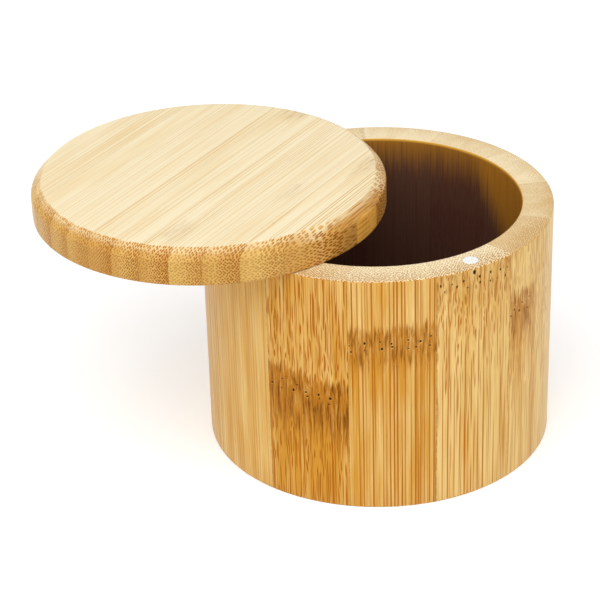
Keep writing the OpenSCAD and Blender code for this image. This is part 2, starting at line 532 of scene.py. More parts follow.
class Nodes:
    """Writes the nodes of a material or a world as sums: each call adds one node and gives back its
    output."""

    def __init__(self, owner):
        owner.use_nodes = True
        self.owner = owner
        self.tree = owner.node_tree
        self.shader = self.tree.nodes.get("Principled BSDF") or self.tree.nodes["Background"]

    def add(self, kind, values=(), output=0, **settings):
        node = self.tree.nodes.new("ShaderNode" + kind)
        for name, value in settings.items():
            setattr(node, name, value)
        for socket, value in dict(values).items():
            self.set(node.inputs[socket], value)
        return node.outputs[output]

    def set(self, socket, value):
        if isinstance(value, bpy.types.NodeSocket):
            self.tree.links.new(value, socket)
        else:
            socket.default_value = value

    def shade(self, **values):
        """Gives the shader its values, named as its sockets are but with underscores, and gives back
        the material or world."""
        for name, value in values.items():
            self.set(self.shader.inputs[name.replace("_", " ")], value)
        return self.owner

    def math(self, operation, *values, clamp=False):
        return self.add("Math", enumerate(values), operation=operation, use_clamp=clamp)

    def plus(self, first, second, clamp=False):
        return self.math("ADD", first, second, clamp=clamp)

    def less(self, first, second):
        return self.math("SUBTRACT", first, second)

    def times(self, first, *others):
        """The product of all the values."""
        for other in others:
            first = self.math("MULTIPLY", first, other)
        return first

    def vector(self, operation, *values, output=0):
        return self.add("VectorMath", enumerate(values), output, operation=operation)

    def scaled(self, vector, factor):
        return self.add("VectorMath", {0: vector, 3: factor}, operation="SCALE")

    def join(self, x, y, z=0.0):
        return self.add("CombineXYZ", enumerate((x, y, z)))

    def paced(self, *pairs):
        """A place in a pattern: each value times how fast the pattern changes along it."""
        return self.join(*(self.times(value, pace) for value, pace in pairs))

    def split(self, vector):
        return tuple(self.add("SeparateXYZ", {0: vector}).node.outputs)

    def stored(self, name):
        return self.split(self.add("Attribute", attribute_name=name, output="Vector"))

    def rise(self, value, low, high, start=0.0, end=1.0):
        """Goes smoothly from start to end while the value goes from low to high."""
        values = enumerate((value, low, high, start, end))
        return self.add("MapRange", values, interpolation_type="SMOOTHSTEP")

    def noise(self, vector, detail=2.0, roughness=0.5, scale=1.0):
        values = {"Vector": vector, "Scale": scale, "Detail": detail, "Roughness": roughness}
        return self.add("TexNoise", values)

    def blend(self, share, first, second):
        return self.add("Mix", {0: share, 6: first, 7: second}, 2, data_type="RGBA")

    def seen_directly(self):
        """One for what the camera, a reflection or glass sees, and nought for all other light."""
        path = self.add("LightPath").node.outputs
        beyond = self.math("MAXIMUM", path["Is Glossy Ray"], path["Is Transmission Ray"])
        return self.math("MAXIMUM", path["Is Camera Ray"], beyond)


# A kind of bamboo.  grain: direction of its fibres.  pale, deep and fibre: its ground from pale to
# warm and its streaks, on faces along the grain.  end, end_deep and dot: the same on end grain.
# knot: colour of its knots.  streak: half the width of a streak as a share of their spacing.  rows
# and layers: how many times closer the streaks lie across and inward.  crowding: the same for the
# dots.  glue_long and glue_end: how plain the glue lines are on both kinds of face.  uneven: how
# much the ground varies.  deepening: how much warmer the end grain is at a strip's dense side.
# top: height of its top in mm.  cavity: whether it has a side towards the cavity, which is painted with
# shade.
Wood = namedtuple(
    "Wood",
    "grain pale deep fibre end end_deep dot knot streak rows layers crowding glue_long glue_end"
    " uneven deepening top cavity",
)

# Depth, in fibres, over which a strip goes from its dense side to its sparse one
DENSE_REACH = 9.5
# How far below a board's top, in mm, the dots of its edge start to lighten and are lightest: partly a
# painted sheen on the bevel
HIGH_START, HIGH_FULL = 2.0, 0.2
# How irregular the pattern of the fibres is, from 0 to 1, and how much of their sway goes across
FIBRE_CHAOS, SWAY_ACROSS = 0.5, 0.3
# How many times closer the dots lie inward than across
DOTS_INWARD = 1.25
# As shares of the fibres' spacing: the dark middle of a streak, where a dot starts and is full, how
# much wider it is at the dense side, and where its paler core starts and is full
STREAK_MIDDLE, DOT_RIM, DOT_SWELL, DOT_CORE = 0.14, (0.37, 0.25), 0.07, (0.16, 0.04)
# How far from a seam in mm its glue line starts and is plainest
GLUE_WIDTH = (0.22, 0.02)
# Heights in mm over a knot's line where its brown starts and is full, from above and from below,
# and by how much each edge is ragged; the share of the darkest streaks in it
KNOT_TOP, KNOT_FOOT = (6.0, 3.4), (-8.5, -1.5)
KNOT_TOP_RAG, KNOT_FOOT_RAG = 9.0, 20.0
BENT_SHARE = 0.8
# The warmer band below a knot: heights over its line where it starts and is full, from below and
# from above, and how much warmer it is
BAND_FOOT, BAND_TOP, BAND_WARMTH = (-22.0, -6.0), (0.0, -4.0), 0.35
# Height in mm of the relief that the fibres give a face
GRAIN_RELIEF = 0.06
# Direction from the axis in which the painted shade of the cavity starts lowest, in radians from +X
SHADE_LOW = math.radians(-25)
# How far below the rim in mm the painted shade starts and is deepest, how far its streaks shift it, and
# how much lower it lies on the side away from SHADE_LOW and on the side towards it
SHADE_START, SHADE_FULL, SHADE_STREAKS = 2.0, 17.0, 22.0
SHADE_MOVE = (-5.5, 16.0)
# Depth in mm under the cavity's wall where the painted shade and the painted highlight on the rim's
# lip start and are full, and the share of the wood that each covers
SHADE_SKIN, LIP_SKIN = (0.25, 0.05), (0.32, 0.1)
SHADE_SHARE, LIP_SHARE = 0.96, 0.8
# Height in mm over the underside where the painted shade starts and is full
SHADE_FOOT = (0.3, 0.8)
# How far below the rim in mm the lip's painted highlight starts and is full
LIP_START, LIP_FULL = 0.8, 0.4


class BambooNodes(Nodes):
    """The nodes of a kind of bamboo, with what its pieces store on their points."""

    def __init__(self, name, wood):
        super().__init__(bpy.data.materials.new(name))
        self.wood = wood
        self.tones = bpy.context.scene.salt_box_colours
        self.across, self.inward, self.fleck = self.stored("grain")
        self.left, self.right, self.along = self.stored("seam")
        self.over, self.knot, self.pit = self.stored("knot")
        self.tone, self.contrast, self.sway = self.stored("look")
        self.end_tone, self.end_contrast, self.place = self.stored("ends")
        self.x, self.y, self.z = self.split(self.scaled(self.add("TexCoord", output="Object"), 1 / MM))
        self.normal = self.add("TexCoord", output="Normal")
        # One where a face cuts the grain squarely, nought where it lies along it
        facing = self.vector("DOT_PRODUCT", self.normal, wood.grain, output=1)
        self.facing = self.math("ABSOLUTE", facing)
        # The fibres are thickest and darkest at the dense side of each strip
        self.dense = self.rise(self.inward, DENSE_REACH, 0.0)
        # The dots last nearly until the face lies along the grain
        self.cut = self.rise(self.facing, 0.06, 0.24)
        # Fine threads between the fibres
        fine = self.paced((self.across, 1.5), (self.inward, 1.5), (self.along, 0.04))
        self.threads = self.noise(fine, 3.5, 0.7)
        # Which way the fibres stray, from minus a half to plus a half
        drift = self.paced((self.across, 0.85), (self.inward, 0.85), (self.fleck, 1.0))
        stray = self.add("TexNoise", {"Vector": drift, "Scale": 1.0, "Detail": 0.5}, 1)
        self.stray = self.vector("SUBTRACT", stray, (0.5, 0.5, 0.5))


def nearest_fibre(n, sway, closer_across, closer_inward):
    """Distance to the nearest fibre and that fibre's chance number, from the cells of a flat Voronoi
    pattern.  Each point is moved inward by its stray times the sway, and across by less.  The pattern
    is turned by an eighth, so that each row of fibres stands between those of the next."""
    stray_across, stray_inward, _ = n.split(n.scaled(n.stray, sway))
    at_across = n.times(n.plus(n.across, n.times(stray_across, SWAY_ACROSS)), closer_across)
    at_inward = n.times(n.plus(n.inward, stray_inward), closer_inward)
    half_root = math.sqrt(0.5)
    eighth = n.paced((n.plus(at_across, at_inward), half_root), (n.less(at_across, at_inward), half_root))
    cell = {"Vector": eighth, "Scale": 1.0, "Randomness": FIBRE_CHAOS}
    distance = n.add("TexVoronoi", cell, voronoi_dimensions="2D")
    return distance, n.split(distance.node.outputs["Color"])[0]


def edge_of(n):
    """How far the ground is that of end grain, the colour of the dots, and how plain they are.  The
    ground turns to end grain later than the dots show.  In a board that lies flat, the whole turned
    edge takes that ground, about half of it at the very top, and little of it where a strip's dots
    are faint.  Where the edge runs along the grain, the sparse side of a strip takes none.  Near the
    top, the dots are lighter and stand out more from the pale ground.  The paler top of the edge is
    partly a painted sheen on the bevel, over the end grain's own colour."""
    wood = n.wood
    if wood.grain[2] != 0:
        return n.rise(n.facing, 0.25, 0.6), rgba(wood.dot), 1.0
    level = n.math("ABSOLUTE", n.split(n.normal)[2])
    # The paler, lighter-dotted band at the top is partly a painted sheen on the bevel
    high = n.rise(n.z, wood.top - HIGH_START, wood.top - HIGH_FULL)
    edge = n.times(n.rise(level, 0.99, 0.88), n.rise(high, 1.0, 0.0, 0.55, 1.0))
    edge = n.times(edge, n.rise(n.end_contrast, 0.2, 0.7, 0.1, 1.0))
    end_share = n.math("MAXIMUM", n.rise(n.facing, 0.1, 0.4), n.rise(n.inward, 8.0, 3.0))
    dot = n.blend(high, rgba(wood.dot), rgba(n.tones.lid_dot_high))
    return n.times(edge, end_share), dot, n.rise(high, 0.0, 1.0, 1.0, 1.5)


def ground_of(n, ground_cut):
    """The wood between the fibres, from pale to deep by the piece's tone, by fine threads, by slow
    changes and by a warmer band below a knot: once for faces along the grain, once for end grain."""
    wood = n.wood
    broad = n.noise(n.paced((n.place, 0.3), (n.inward, 0.12), (n.along, 0.03)))
    below = n.times(n.rise(n.over, *BAND_FOOT), n.rise(n.over, *BAND_TOP), n.times(n.knot, BAND_WARMTH))
    unrest = n.times(n.less(n.threads, 0.5), wood.uneven, n.rise(n.contrast, 0.0, 1.0, 0.45, 1.0))
    slow = n.times(n.less(broad, 0.5), 1.6)
    warmth = n.plus(n.plus(unrest, slow), n.plus(n.tone, below), clamp=True)
    end_rest = n.plus(n.end_tone, n.times(n.dense, n.dense, wood.deepening))
    end_unrest = n.times(unrest, n.rise(n.cut, 0.0, 1.0, 1.0, 0.3))
    end_warmth = n.plus(n.plus(end_unrest, n.times(slow, 0.5)), end_rest, clamp=True)
    long_ground = n.blend(warmth, rgba(wood.pale), rgba(wood.deep))
    end_ground = n.blend(end_warmth, rgba(wood.end), rgba(wood.end_deep))
    return n.blend(ground_cut, long_ground, end_ground)


def knotted(n, plain):
    """Adds the knot, which shows only on faces along the grain.  It is brown from a ragged lower
    edge up to a sharper upper one, with thin dark streaks along the grain where the fibres bend
    through it, and with dark pits."""
    knot = n.times(n.knot, n.rise(n.cut, 1.0, 0.0))
    rag = n.less(n.noise(n.paced((n.place, 1.3), (n.over, 0.03)), 3.0, 0.7), 0.5)
    upper = n.rise(n.plus(n.over, n.times(rag, KNOT_TOP_RAG)), *KNOT_TOP)
    lower = n.rise(n.plus(n.over, n.times(rag, KNOT_FOOT_RAG)), *KNOT_FOOT)
    stripes = n.noise(n.paced((n.place, 1.5), (n.over, 0.16)), 3.0, 0.65)
    patch = n.noise(n.paced((n.place, 0.35), (n.over, 0.2)), 1.0)
    uneven = (n.rise(stripes, 0.34, 0.52, 0.35, 1.0), n.rise(patch, 0.2, 0.5, 0.7, 1.0))
    brown = n.blend(n.times(upper, lower, *uneven, knot), plain, rgba(n.wood.knot))
    bent = n.times(upper, lower, n.rise(stripes, 0.50, 0.62), knot, BENT_SHARE)
    streaked = n.blend(bent, brown, rgba(n.tones.bent))
    # The pits are painted dark by their depth: painted shade in the dents
    return n.blend(n.rise(n.pit, 0.25, 0.7), streaked, rgba(n.tones.pit))


def glued(n, plain):
    """Adds the glue lines: a hair of brown that comes and goes along the seam."""
    seam = n.rise(n.math("MINIMUM", n.left, n.right), *GLUE_WIDTH)
    glue = n.rise(n.noise(n.join(n.place, n.times(n.along, 0.6), n.inward)), 0.35, 0.6, 0.1, 0.7)
    shown = n.times(seam, glue, n.rise(n.cut, 0, 1, n.wood.glue_long, n.wood.glue_end))
    return n.blend(shown, plain, rgba(n.tones.bent))


def painted_cavity_shade(n, plain):
    """Paints shade into the cavity, and a highlight on the golden lip of the rim.  The painted shade
    deepens downward, further in some streaks than in others, and starts lower on the side of the wall
    that looks away from the open lid, where more light falls in."""
    radius = n.math("SQRT", n.plus(n.times(n.x, n.x), n.times(n.y, n.y)))
    skin_out, skin_in = (CAVITY_R + skin for skin in SHADE_SKIN)
    inside = n.times(n.rise(radius, skin_out, skin_in), n.rise(n.z, *SHADE_FOOT))
    ragged = n.plus(n.z, n.times(n.less(n.threads, 0.5), SHADE_STREAKS))
    towards = n.plus(n.times(n.x, math.cos(SHADE_LOW)), n.times(n.y, math.sin(SHADE_LOW)))
    ragged = n.plus(ragged, n.rise(n.times(towards, 1 / CAVITY_R), 0.75, 1.1, *SHADE_MOVE))
    # Painted shade: lit just under the rim, darkest further down, with darker streaks
    down = n.rise(ragged, BOX_H - SHADE_START, BOX_H - SHADE_FULL)
    cavity_shade = n.blend(down, rgba(n.tones.inside_lit), rgba(n.tones.inside_shaded))
    cavity_shade = n.blend(n.rise(n.threads, 0.45, 0.8, 0.0, 0.3), cavity_shade, rgba(n.tones.pit))
    dark = n.blend(n.times(inside, SHADE_SHARE), plain, cavity_shade)
    # The lip: a painted highlight along the rim's inner edge
    lip_out, lip_in = (CAVITY_R + skin for skin in LIP_SKIN)
    lip = n.times(n.rise(radius, lip_out, lip_in), n.rise(n.z, BOX_H - LIP_START, BOX_H - LIP_FULL))
    return n.blend(n.times(lip, LIP_SHARE), dark, rgba(n.tones.lip))


def bamboo(name, wood):
    """Bamboo as a solid.  Dense fibres run through it side by side in staggered rows, as the cells
    of a flat Voronoi pattern in fibres across and fibres in, and a noise that changes along the
    grain sways them.  A face across the grain shows dots and a face along it shows streaks, which
    break into flecks where the fibres sway in and out of the face."""
    n = BambooNodes(name, wood)
    to_fibre, chance = nearest_fibre(n, n.sway, wood.rows, wood.layers)
    streak = n.rise(to_fibre, wood.streak, STREAK_MIDDLE)
    # On end grain a strong sway would only bend the dots
    inward = wood.crowding * DOTS_INWARD
    to_dot, dot_chance = nearest_fibre(n, n.times(n.sway, 0.15), wood.crowding, inward)
    spot = n.rise(n.less(to_dot, n.times(n.dense, DOT_SWELL)), *DOT_RIM)
    core = n.rise(to_dot, *DOT_CORE)

    ground_cut, dot, plainer = edge_of(n)
    ground = ground_of(n, ground_cut)
    fibre = n.blend(n.rise(ground_cut, 0.05, 0.55), rgba(wood.fibre), dot)
    uneven = (n.rise(n.threads, 0.2, 0.6, 0.8, 1.0), n.rise(chance, 0.0, 0.7, 0.65, 1.0))
    long_face = n.blend(n.times(streak, n.times(n.contrast, *uneven)), ground, fibre)
    spots = n.times(spot, n.rise(core, 0, 1, 1.0, 0.7), n.rise(dot_chance, 0.0, 0.6, 0.8, 1.0))
    spots = n.times(spots, n.end_contrast, n.rise(n.dense, 0, 0.5, 0.65, 1.0), plainer)
    end_face = n.blend(spots, ground, fibre)
    face = glued(n, knotted(n, n.blend(n.cut, long_face, end_face)))
    # Painted shade down the cavity, and a painted highlight on the rim's inner edge
    if wood.cavity:
        face = painted_cavity_shade(n, face)

    marks = n.plus(n.times(streak, n.rise(n.cut, 1.0, 0.0)), n.times(spot, n.cut, 0.5))
    relief = {"Strength": 0.35, "Distance": GRAIN_RELIEF * MM}
    relief["Height"] = n.less(n.times(n.threads, 0.5), n.times(marks, 0.6))
    rough = n.math("MAXIMUM", n.rise(n.threads, 0.2, 0.8, 0.28, 0.42), n.rise(n.pit, 0.02, 0.2, 0.0, 0.95))
    return n.shade(Base_Color=face, Roughness=rough, Normal=n.add("Bump", relief), Specular_IOR_Level=0.12)


def metal(name, tint, stretch, smooth, rough):
    """Bare metal with fine marks: noise stretched by a vector gives the marks their direction."""
    n = Nodes(bpy.data.materials.new(name))
    at = n.add("TexCoord", output="Object")
    marks = n.noise(n.vector("MULTIPLY", at, stretch), 4.0, 0.65)
    shade = n.times(n.plus(marks, n.noise(at, scale=900.0)), 0.5)
    return n.shade(
        Base_Color=n.blend(n.rise(shade, 0.3, 0.7), rgba(tint, DARKER), rgba(tint)),
        Roughness=n.rise(marks, 0.25, 0.75, smooth, rough),
        Normal=n.add("Bump", {"Strength": 0.15, "Distance": 0.02 * MM, "Height": marks}),
        Metallic=1.0,
    )


def paper(name):
    """The floor: pale, lit by the lamps so that it keeps the shadow, and a little brighter to the
    camera and to reflections, which takes it up to white where it is in full light."""
    n = Nodes(bpy.data.materials.new(name))
    tint = bpy.context.scene.salt_box_colours.paper
    grain = n.times(n.noise(n.add("TexCoord", output="Object"), 3.0, scale=60.0), 0.06)
    n.shade(Base_Color=n.blend(grain, rgba(tint), rgba(tint, DARKER)), Roughness=0.9, Specular_IOR_Level=0.0)
    glow = n.add("Emission", {"Color": WHITE, "Strength": n.times(n.seen_directly(), 0.42)})
    both = n.add("AddShader", enumerate((n.shader.outputs[0], glow)))
    n.set(n.tree.nodes["Material Output"].inputs["Surface"], both)
    return n.owner


# ---------------------------------------------------------------- the box

# The pits of a knot: how many in a row, least distance in mm from a seam, how far the lower row
# lies under the knot's line, and how far each row lies over the lower one
PITS_IN_ROW = 7
PIT_MARGIN = 1.2
PIT_DROP = 0.9
PIT_ROWS = (0.0, 1.9)
# How far in mm a pit is moved at random across and up, the range of its radius in mm and of its
# share of the full depth, and the share of the pits that are kept
PIT_STRAY, PIT_STRAY_UP = 0.8, 0.7
PIT_RADII = (0.22, 0.36)
PIT_DEPTHS = (0.7, 1.1)
PITS_KEPT = 0.85
# A knot no stronger than this has no pits, and weaker knots have shallower ones
PITTED_KNOT = 0.2
PIT_SEED = 700
# The large pit under the rim magnet: its stave; mm across from the stave's middle, height, radius
# and share of the depth
RIM_PIT_STAVE = 1
RIM_PIT = (-0.9, 62.3, 0.42, 1.3)
# Points this near the outside in mm lie on it
OUTER_SKIN = 1
# A strip that ends this near the rim of its board in mm ends there, and has no seam on that side
NO_SEAM = 0.5


def stave_span(node):
    """Middle direction of a stave and the directions of its two seams, in radians."""
    p = node_points(node)
    middle = math.atan2(p[:, 1].mean(), p[:, 0].mean())
    off = wrapped(np.arctan2(p[:, 1], p[:, 0]) - middle)
    return middle, middle + off.min(), middle + off.max()


def pits_of(number, look, half):
    """Places of the pits of a stave: pairs, one over the other, about 3 mm apart along the knot,
    each moved a little at random.  Rows are across, height, radius and depth share."""
    chance = np.random.default_rng(PIT_SEED + number)
    count = PITS_IN_ROW if look.knot > PITTED_KNOT else 0
    across = np.linspace(-half + PIT_MARGIN, half - PIT_MARGIN, max(count, 1))[:count]
    rows = [np.zeros((0, 4))]
    for high in PIT_ROWS:
        x = across + chance.uniform(-PIT_STRAY, PIT_STRAY, count)
        knot_line = look.knot_at + look.slope * x
        z = knot_line + high - PIT_DROP + chance.uniform(-PIT_STRAY_UP, PIT_STRAY_UP, count)
        size = chance.uniform(*PIT_RADII, count)
        kept = (chance.uniform(0, 1, count) < PITS_KEPT) & (abs(x - look.aside) < look.wide)
        deep = chance.uniform(*PIT_DEPTHS, count) * min(0.6 + look.knot, 1.0)
        rows.append(np.stack([x, z, size, deep], 1)[kept])
    if number == RIM_PIT_STAVE:
        rows.append(np.array([RIM_PIT]))
    return np.concatenate(rows)


def sunk(across, z, pits):
    """How deep the pits go at each point: the sum over the pits of their depth times a bell of the
    distance, a third taller than wide."""
    total = np.zeros(np.broadcast(across, z).shape)
    for x, at, size, deep in pits:
        total += deep * np.exp(-(((across - x) / size) ** 2 + ((z - at) / (1.35 * size)) ** 2) ** 1.5)
    return total


def round_part(node):
    """Axis, radius and heights of a round upright part."""
    p = node_points(node)
    low, high = p.min(0), p.max(0)
    return (low[0] + high[0]) / 2, (low[1] + high[1]) / 2, (high[0] - low[0]) / 2, low[2], high[2]


def meets(x, y, radius, start, end):
    """Whether a round hole at x, y meets the slice between two directions."""
    off = wrapped(math.atan2(y, x) - (start + end) / 2)
    return abs(off) < (end - start) / 2 + radius / math.hypot(x, y)


def drill_wall(piece, start, end):
    """Drills the pocket of the rim magnet and the bore of the pin where they meet a stave.  The pin
    stays as clear of the bore's bottom as of its side, so that nothing rubs as it turns."""
    for node, room in (("rim_magnet", 0.0), ("pivot_pin", PIN_CLEARANCE)):
        x, y, radius, low, _ = round_part(node)
        if meets(x, y, radius, start, end):
            bored(piece, x, y, radius + room, low - room, BOX_H + PROUD)


def stave_section(knot_at):
    """Outer radius, inner radius and height at each ring of a stave, from the foot up: the foot and
    both edges of the rim are eased by arcs, and a rebate takes the floor."""
    ease = bpy.context.scene.salt_box_shape.edge_ease / MM
    foot = arc((BOX_R - ease, ease), ease, -90, 0, EASE_STEPS)
    head = arc((BOX_R - ease, BOX_H - ease), ease, 0, 90, EASE_STEPS)
    lip = arc((CAVITY_R + ease, BOX_H - ease), ease, 180, 90, EASE_STEPS)
    body = crowded(FLOOR_T, BOX_H - ease, knot_at)[1:-1]
    outer = np.concatenate([foot[:, 0], [BOX_R, BOX_R], body * 0 + BOX_R, head[:, 0]])
    inner = np.concatenate([np.full(len(foot) + 1, FLOOR_R), [CAVITY_R], body * 0 + CAVITY_R, lip[:, 0]])
    z = np.concatenate([foot[:, 1], [FLOOR_T, FLOOR_T], body, head[:, 1]])
    return outer, inner, z


def make_stave(number, node, material):
    """One upright stave: rings of an annular sector, stacked up its height, with its outside dented
    by the pits of the knot."""
    shape = bpy.context.scene.salt_box_shape
    look = STAVE_LOOKS[number % len(STAVE_LOOKS)]
    middle, start, end = stave_span(node)
    pits = pits_of(number, look, (end - start) / 2 * BOX_R)
    outer, inner, z = stave_section(look.knot_at)

    plan = sector_rings(outer, inner, start, end, shape.seam_ease / MM)
    across = wrapped(np.arctan2(plan[..., 1], plan[..., 0]) - middle) * BOX_R
    outside = np.arange(plan.shape[1]) < OUTSIDE_POINTS
    dent = np.where(outside, sunk(across, z[:, None], pits), 0) * shape.pit_depth / MM
    rings = stacked(plan * (1 - dent / BOX_R)[..., None], z)
    at = (BOX_R + CAVITY_R) / 2
    foot_pole = np.array([at * math.cos(middle), at * math.sin(middle), 0])
    rim_pole = foot_pole + (0, 0, BOX_H)
    foot, rim = shrunk(rings[0], foot_pole, FOOT_SHARES), shrunk(rings[-1], rim_pole, RIM_SHARES)
    piece = lofted("bamboo_" + node, np.concatenate([foot, rings, rim]), foot_pole, rim_pole)
    drill_wall(piece, start, end)

    p = points_of(piece)
    out = p[:, 0] * math.cos(middle) + p[:, 1] * math.sin(middle)
    side = p[:, 1] * math.cos(middle) - p[:, 0] * math.sin(middle)
    turn = (end - start) / 2
    left = side * math.cos(turn) + out * math.sin(turn)
    right = out * math.sin(turn) - side * math.cos(turn)
    across = wrapped(np.arctan2(p[:, 1], p[:, 0]) - middle) * BOX_R
    pit = np.where(np.hypot(p[:, 0], p[:, 1]) > BOX_R - OUTER_SKIN, sunk(across, p[:, 2], pits), 0)
    store_grain(piece, side, BOX_R - out, p[:, 2], side, left, right, look, pit, number, WALL_COARSE)
    finished(piece, "box", "bamboo_wall", material, node)


def strip_span(points, cut_radius):
    """The two planes that bound a glued strip, from its least and greatest x."""
    low, high = points[:, 0].min(), points[:, 0].max()
    left = -cut_radius if low < NO_SEAM - cut_radius else low
    right = cut_radius if high > cut_radius - NO_SEAM else high
    return left, right


def make_floor_strip(number, node, material):
    """One strip of the floor board: rings of a slab cut from a disc, at the two faces."""
    left, right = strip_span(node_points(node), FLOOR_R)
    corner = bpy.context.scene.salt_box_shape.seam_ease / MM
    radii = np.array([FLOOR_R - corner, FLOOR_R, FLOOR_R, FLOOR_R - corner])
    z = np.array([0, corner, FLOOR_T - corner, FLOOR_T])
    rings = stacked(slab_rings(radii, left, right, corner), z)
    pole = np.array([(max(left, -FLOOR_R) + min(right, FLOOR_R)) / 2, 0, 0])
    top = pole + (0, 0, FLOOR_T)
    low_face, top_face = shrunk(rings[0], pole, BOARD_LOW_SHARES), shrunk(rings[-1], top, BOARD_TOP_SHARES)
    piece = lofted("bamboo_" + node, np.concatenate([low_face, rings, top_face]), pole, top)
    x, y, z = points_of(piece).T
    to_left, to_right = x - left, right - x
    sideways = (to_left - to_right) / 2
    look = floor_look(number)
    store_grain(piece, z, to_right, y, sideways, to_left, to_right, look, 0 * z, number + FLOOR_NUMBER)
    finished(piece, "box", "bamboo_floor", material, node)


def lid_profile():
    """Radius and height of the lid's edge from the foot up: an eased corner, the upright side, and
    a bevel at 45 degrees whose two edges are arcs."""
    shape = bpy.context.scene.salt_box_shape
    ease, bevel, soft = shape.edge_ease / MM, shape.lid_bevel / MM, shape.bevel_ease / MM
    tangent = soft * math.tan(math.pi / 8)
    low = arc((BOX_R - ease, ease), ease, -90, 0, EASE_STEPS)
    shoulder = arc((BOX_R - soft, LID_T - bevel - tangent), soft, 0, 45, BEVEL_STEPS)
    top = arc((BOX_R - bevel - tangent, LID_T - soft), soft, 45, 90, BEVEL_STEPS)
    side = np.linspace(low[-1], shoulder[0], STRAIGHT_POINTS)[1:-1]
    slope = np.linspace(shoulder[-1], top[0], STRAIGHT_POINTS)[1:-1]
    return np.concatenate([low, side, shoulder, slope, top])


def make_lid_strip(number, node, left, right, look, material, left_turn=0.0, right_turn=0.0):
    """One strip of the lid: rings of a slab cut from a disc, as wide as the lid's profile is at each
    height.  An end strip stops where the profile has drawn in to its inner plane."""
    corner = bpy.context.scene.salt_box_shape.seam_ease / MM
    profile = lid_profile()
    least = (min(abs(left), abs(right)) if left * right > 0 else 0.0) + 2 * corner
    reaches = profile[:, 0] > least
    # The foot's corner may lie inside a thin strip's plane, and then the strip starts above it
    first = int(np.argmax(reaches))
    last = len(reaches) if reaches[first:].all() else first + int(np.argmin(reaches[first:]))
    kept = profile[first:last]
    closes = last < len(profile)
    if closes:
        radii, heights = profile[last - 1 : last + 1].T
        kept = np.vstack([kept, (least, np.interp(-least, -radii, heights))])
    rings = stacked(slab_rings(kept[:, 0], left, right, corner, left_turn, right_turn), kept[:, 1])
    foot, top = (np.append(rings[end, :, :2].mean(0), kept[end, 1]) for end in (0, -1))
    parts = [shrunk(rings[0], foot, BOARD_LOW_SHARES), rings]
    if not closes:
        parts.append(shrunk(rings[-1], top, LID_TOP_SHARES))
    lift = np.array([0, 0, LID_LOW])
    poles = turned(np.stack([foot, top]) + lift, -SWING)
    piece = lofted("bamboo_" + node, turned(np.concatenate(parts) + lift, -SWING), *poles)
    for filler in ("pivot_pin", "lid_magnet"):
        x, y, radius, _, high = round_part(filler)
        across = turned(np.array([x, y, 0.0]), SWING)[0]
        if left - radius < across < right + radius:
            bored(piece, x, y, radius, LID_LOW - PROUD, high)

    x, y, z = turned(points_of(piece), SWING).T
    up = z - LID_LOW
    to_left = x * math.cos(left_turn) + y * math.sin(left_turn) - left
    to_right = right - x * math.cos(right_turn) - y * math.sin(right_turn)
    sideways = (to_left - to_right) / 2
    depth = right - x + look.buried
    store_grain(piece, up, depth, y, sideways, to_left, to_right, look, 0 * up, number + LID_NUMBER)
    finished(piece, "lid", "bamboo_lid", material, *([node] if node in LID_STRIPS else []))


def make_metal_part(name, node, body, slot, ease, material):
    """A rod or disc in the place of a round CAD node, each end rounded by an arc."""
    x, y, radius, low, high = round_part(node)
    foot = arc((radius - ease, low + ease), ease, -90, 0, METAL_STEPS)
    head = arc((radius - ease, high - ease), ease, 0, 90, METAL_STEPS)
    finished(rod(name, x, y, np.concatenate([foot, head])), body, slot, material, node)


# ---------------------------------------------------------------- the studio

# Thickness and radius in mm of the floor's sheet, and how its rings lie from the middle outward
PAPER_T, PAPER_R = 2.0, 1500
PAPER_RINGS = np.linspace(0.02, 1, 12) ** 2
SENSOR_WIDTH = 36
CLIP_NEAR, CLIP_FAR = 0.05, 20
# Each lamp: degrees round from the camera, degrees up, distance and size in metres
LAMPS = {"key": (-20, 58, 0.9, 0.7), "fill": (42, 18, 1.0, 0.8), "side": (-78, 8, 1.0, 0.8)}
LAMP_AIM = (0, 0, 0.04)


def out_there(turn, rise, far=1.0):
    """A place so far from the origin: the sine and minus the cosine of the turn times the cosine of
    the rise, and the sine of the rise."""
    flat = math.cos(rise)
    return far * math.sin(turn) * flat, -far * math.cos(turn) * flat, far * math.sin(rise)


def stand_camera(studio):
    """The camera, its axes turned from level by the roll."""
    back = Vector(out_there(studio.azimuth, studio.elevation))
    level = Vector((math.cos(studio.azimuth), math.sin(studio.azimuth), 0))
    upright = back.cross(level)
    right = level * math.cos(studio.roll) + upright * math.sin(studio.roll)
    up = upright * math.cos(studio.roll) - level * math.sin(studio.roll)
    camera = bpy.data.cameras.new("camera")
    camera.lens = studio.focal_length
    camera.sensor_width = SENSOR_WIDTH
    camera.clip_start, camera.clip_end = CLIP_NEAR, CLIP_FAR
    eye = bpy.data.objects.new("camera", camera)
    turn = Matrix((right, up, back)).transposed().to_4x4()
    eye.matrix_world = Matrix.Translation(Vector(studio.aim) + back * studio.distance) @ turn
    bpy.context.collection.objects.link(eye)
    bpy.context.scene.camera = eye


def lay_paper():
    """A wide disc of paper, its rings further apart as they go out."""
    radii = PAPER_R * PAPER_RINGS
    under = np.stack([radii, np.full(len(radii), -PAPER_T)], 1)
    over = np.stack([radii, np.zeros(len(radii))], 1)
    floor = rod("paper_floor", 0, 0, np.concatenate([under, over[::-1]]))
    floor.data.materials.append(paper("paper"))


def hang_lamps(studio):
    """Soft square lamps, turned to the box."""
    for name, (turn, rise, far, size) in LAMPS.items():
        light = bpy.data.lights.new(name, "AREA")
        light.energy = getattr(studio, name + "_power")
        light.shape = "SQUARE"
        light.size = size
        lamp = bpy.data.objects.new(name, light)
        round_box = math.radians(math.degrees(studio.azimuth) + turn)
        lamp.location = out_there(round_box, math.radians(rise), far)
        lamp.rotation_euler = (Vector(LAMP_AIM) - lamp.location).to_track_quat("-Z", "Y").to_euler()
        bpy.context.collection.objects.link(lamp)


